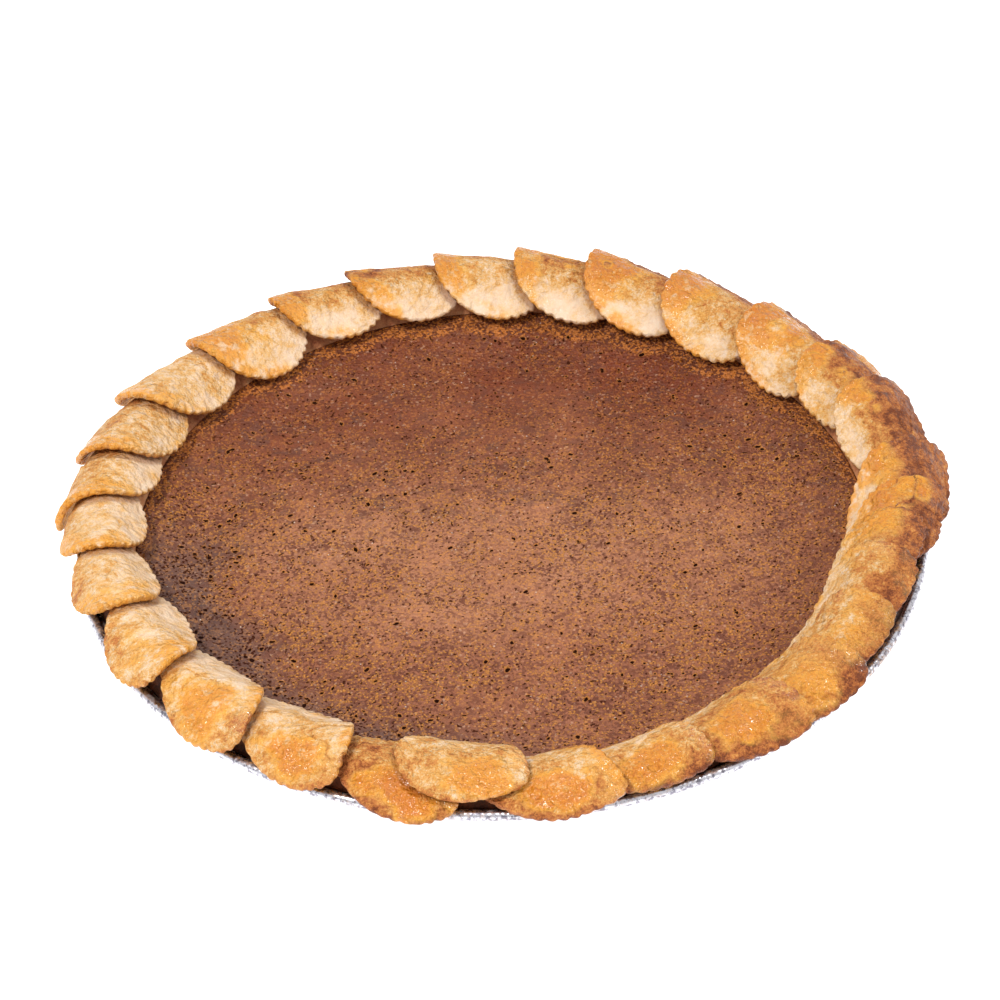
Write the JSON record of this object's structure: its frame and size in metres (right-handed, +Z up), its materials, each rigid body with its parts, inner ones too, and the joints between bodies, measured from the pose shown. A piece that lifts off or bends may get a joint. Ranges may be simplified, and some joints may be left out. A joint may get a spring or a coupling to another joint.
{
  "type": "pumpkin pie",
  "caption": "Whole pumpkin pie in a round foil tin, its rim dressed with overlapping fluted rounds of glazed pastry laid like shingles round a dished filling.",
  "frame": {"origin": "centre of the tin's flat underside, on the surface it stands on", "axes": "+Z up out of the filling; +X to the right and +Y to the back as the pie is looked at, with the last-laid round at the front, towards -Y"},
  "size_m": [0.2706, 0.2672, 0.0473],
  "materials": {
    "foil": "polished",
    "crust": "matte",
    "pastry": "satin",
    "filling": "satin"
  },
  "bodies": {
    "root": {"tin": "foil", "crust": "crust", "filling": "filling", "round_01": "pastry", "round_02": "pastry", "round_03": "pastry", "round_04": "pastry", "round_05": "pastry", "round_06": "pastry", "round_07": "pastry", "round_08": "pastry", "round_09": "pastry", "round_10": "pastry", "round_11": "pastry", "round_12": "pastry", "round_13": "pastry", "round_14": "pastry", "round_15": "pastry", "round_16": "pastry", "round_17": "pastry", "round_18": "pastry", "round_19": "pastry", "round_20": "pastry", "round_21": "pastry", "round_22": "pastry", "round_23": "pastry", "round_24": "pastry", "round_25": "pastry", "round_26": "pastry", "round_27": "pastry", "round_28": "pastry", "round_29": "pastry"}
  },
  "joints": []
}
